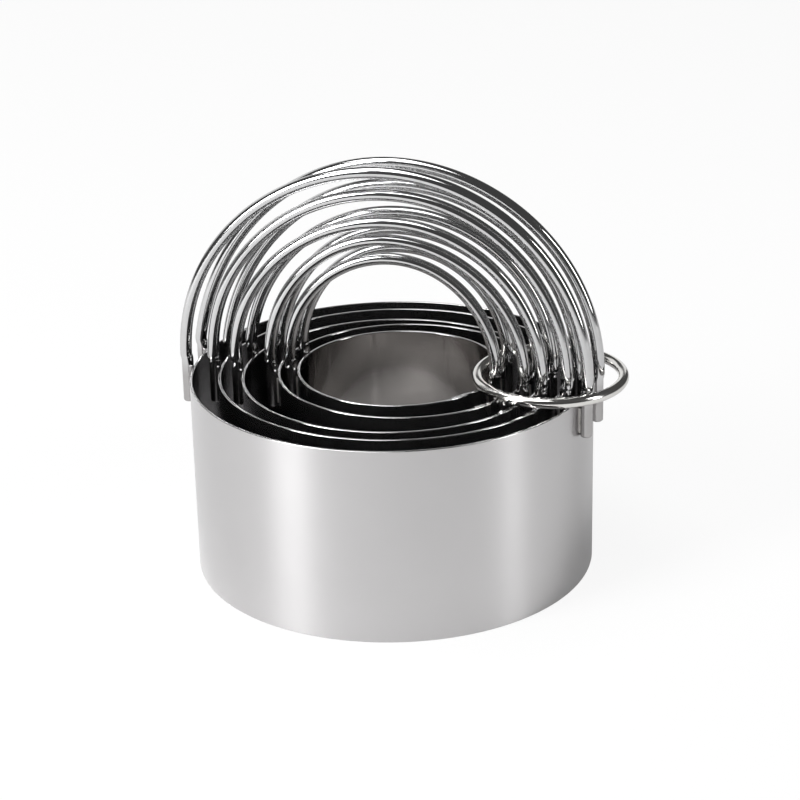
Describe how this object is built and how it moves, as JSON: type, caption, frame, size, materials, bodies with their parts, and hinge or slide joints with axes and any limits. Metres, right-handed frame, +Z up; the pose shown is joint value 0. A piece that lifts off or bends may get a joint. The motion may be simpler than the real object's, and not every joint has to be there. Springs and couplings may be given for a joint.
{
  "type": "biscuit cutter",
  "caption": "Nested round biscuit cutters, plain steel bands with twin wire arch handles held together by a hinged wire ring, for cutting discs of dough.",
  "frame": {"origin": "centre of the largest cutter's lower edge, on the surface it stands on", "axes": "+Z up along the largest cutter's axis, +X along the handles towards the end with the ring, -Y the front"},
  "size_m": [0.1139, 0.1016, 0.1055],
  "materials": {
    "band_steel": "satin rolled stainless strip",
    "wire_steel": "polished wire",
    "weld_steel": "small resistance welds",
    "ring_steel": "nickel-plated polished wire",
    "pin_steel": "polished pin"
  },
  "bodies": {
    "cutter_5": {"band_5": "band_steel", "front_wire_5": "wire_steel", "rear_wire_5": "wire_steel", "welds_5": "weld_steel"},
    "cutter_4": {"band_4": "band_steel", "front_wire_4": "wire_steel", "rear_wire_4": "wire_steel", "welds_4": "weld_steel"},
    "cutter_3": {"band_3": "band_steel", "front_wire_3": "wire_steel", "rear_wire_3": "wire_steel", "welds_3": "weld_steel"},
    "cutter_2": {"band_2": "band_steel", "front_wire_2": "wire_steel", "rear_wire_2": "wire_steel", "welds_2": "weld_steel"},
    "cutter_1": {"band_1": "band_steel", "front_wire_1": "wire_steel", "rear_wire_1": "wire_steel", "welds_1": "weld_steel"},
    "ring": {"ring_fixed_half": "ring_steel", "ring_pin": "pin_steel"},
    "ring_gate": {"ring_gate_half": "ring_steel"}
  },
  "joints": [
    {"name": "lift_4", "type": "slide", "parent": "cutter_5", "child": "cutter_4", "axis": [0, 0, 1], "range_m": [0, 0.0015]},
    {"name": "lift_3", "type": "slide", "parent": "cutter_4", "child": "cutter_3", "axis": [0, 0, 1], "range_m": [0, 0.0015]},
    {"name": "lift_2", "type": "slide", "parent": "cutter_3", "child": "cutter_2", "axis": [0, 0, 1], "range_m": [0, 0.0015]},
    {"name": "lift_1", "type": "slide", "parent": "cutter_2", "child": "cutter_1", "axis": [0, 0, 1], "range_m": [0, 0.0015]},
    {"name": "ring_rise", "type": "slide", "parent": "cutter_1", "child": "ring", "axis": [0, 0, 1], "range_m": [0, 0.002]},
    {"name": "ring_open", "type": "hinge", "parent": "ring", "child": "ring_gate", "pos_m": [0.03312, -0.01497, 0.05175], "axis": [0, 0, 1], "range_deg": [0, 100]}
  ]
}
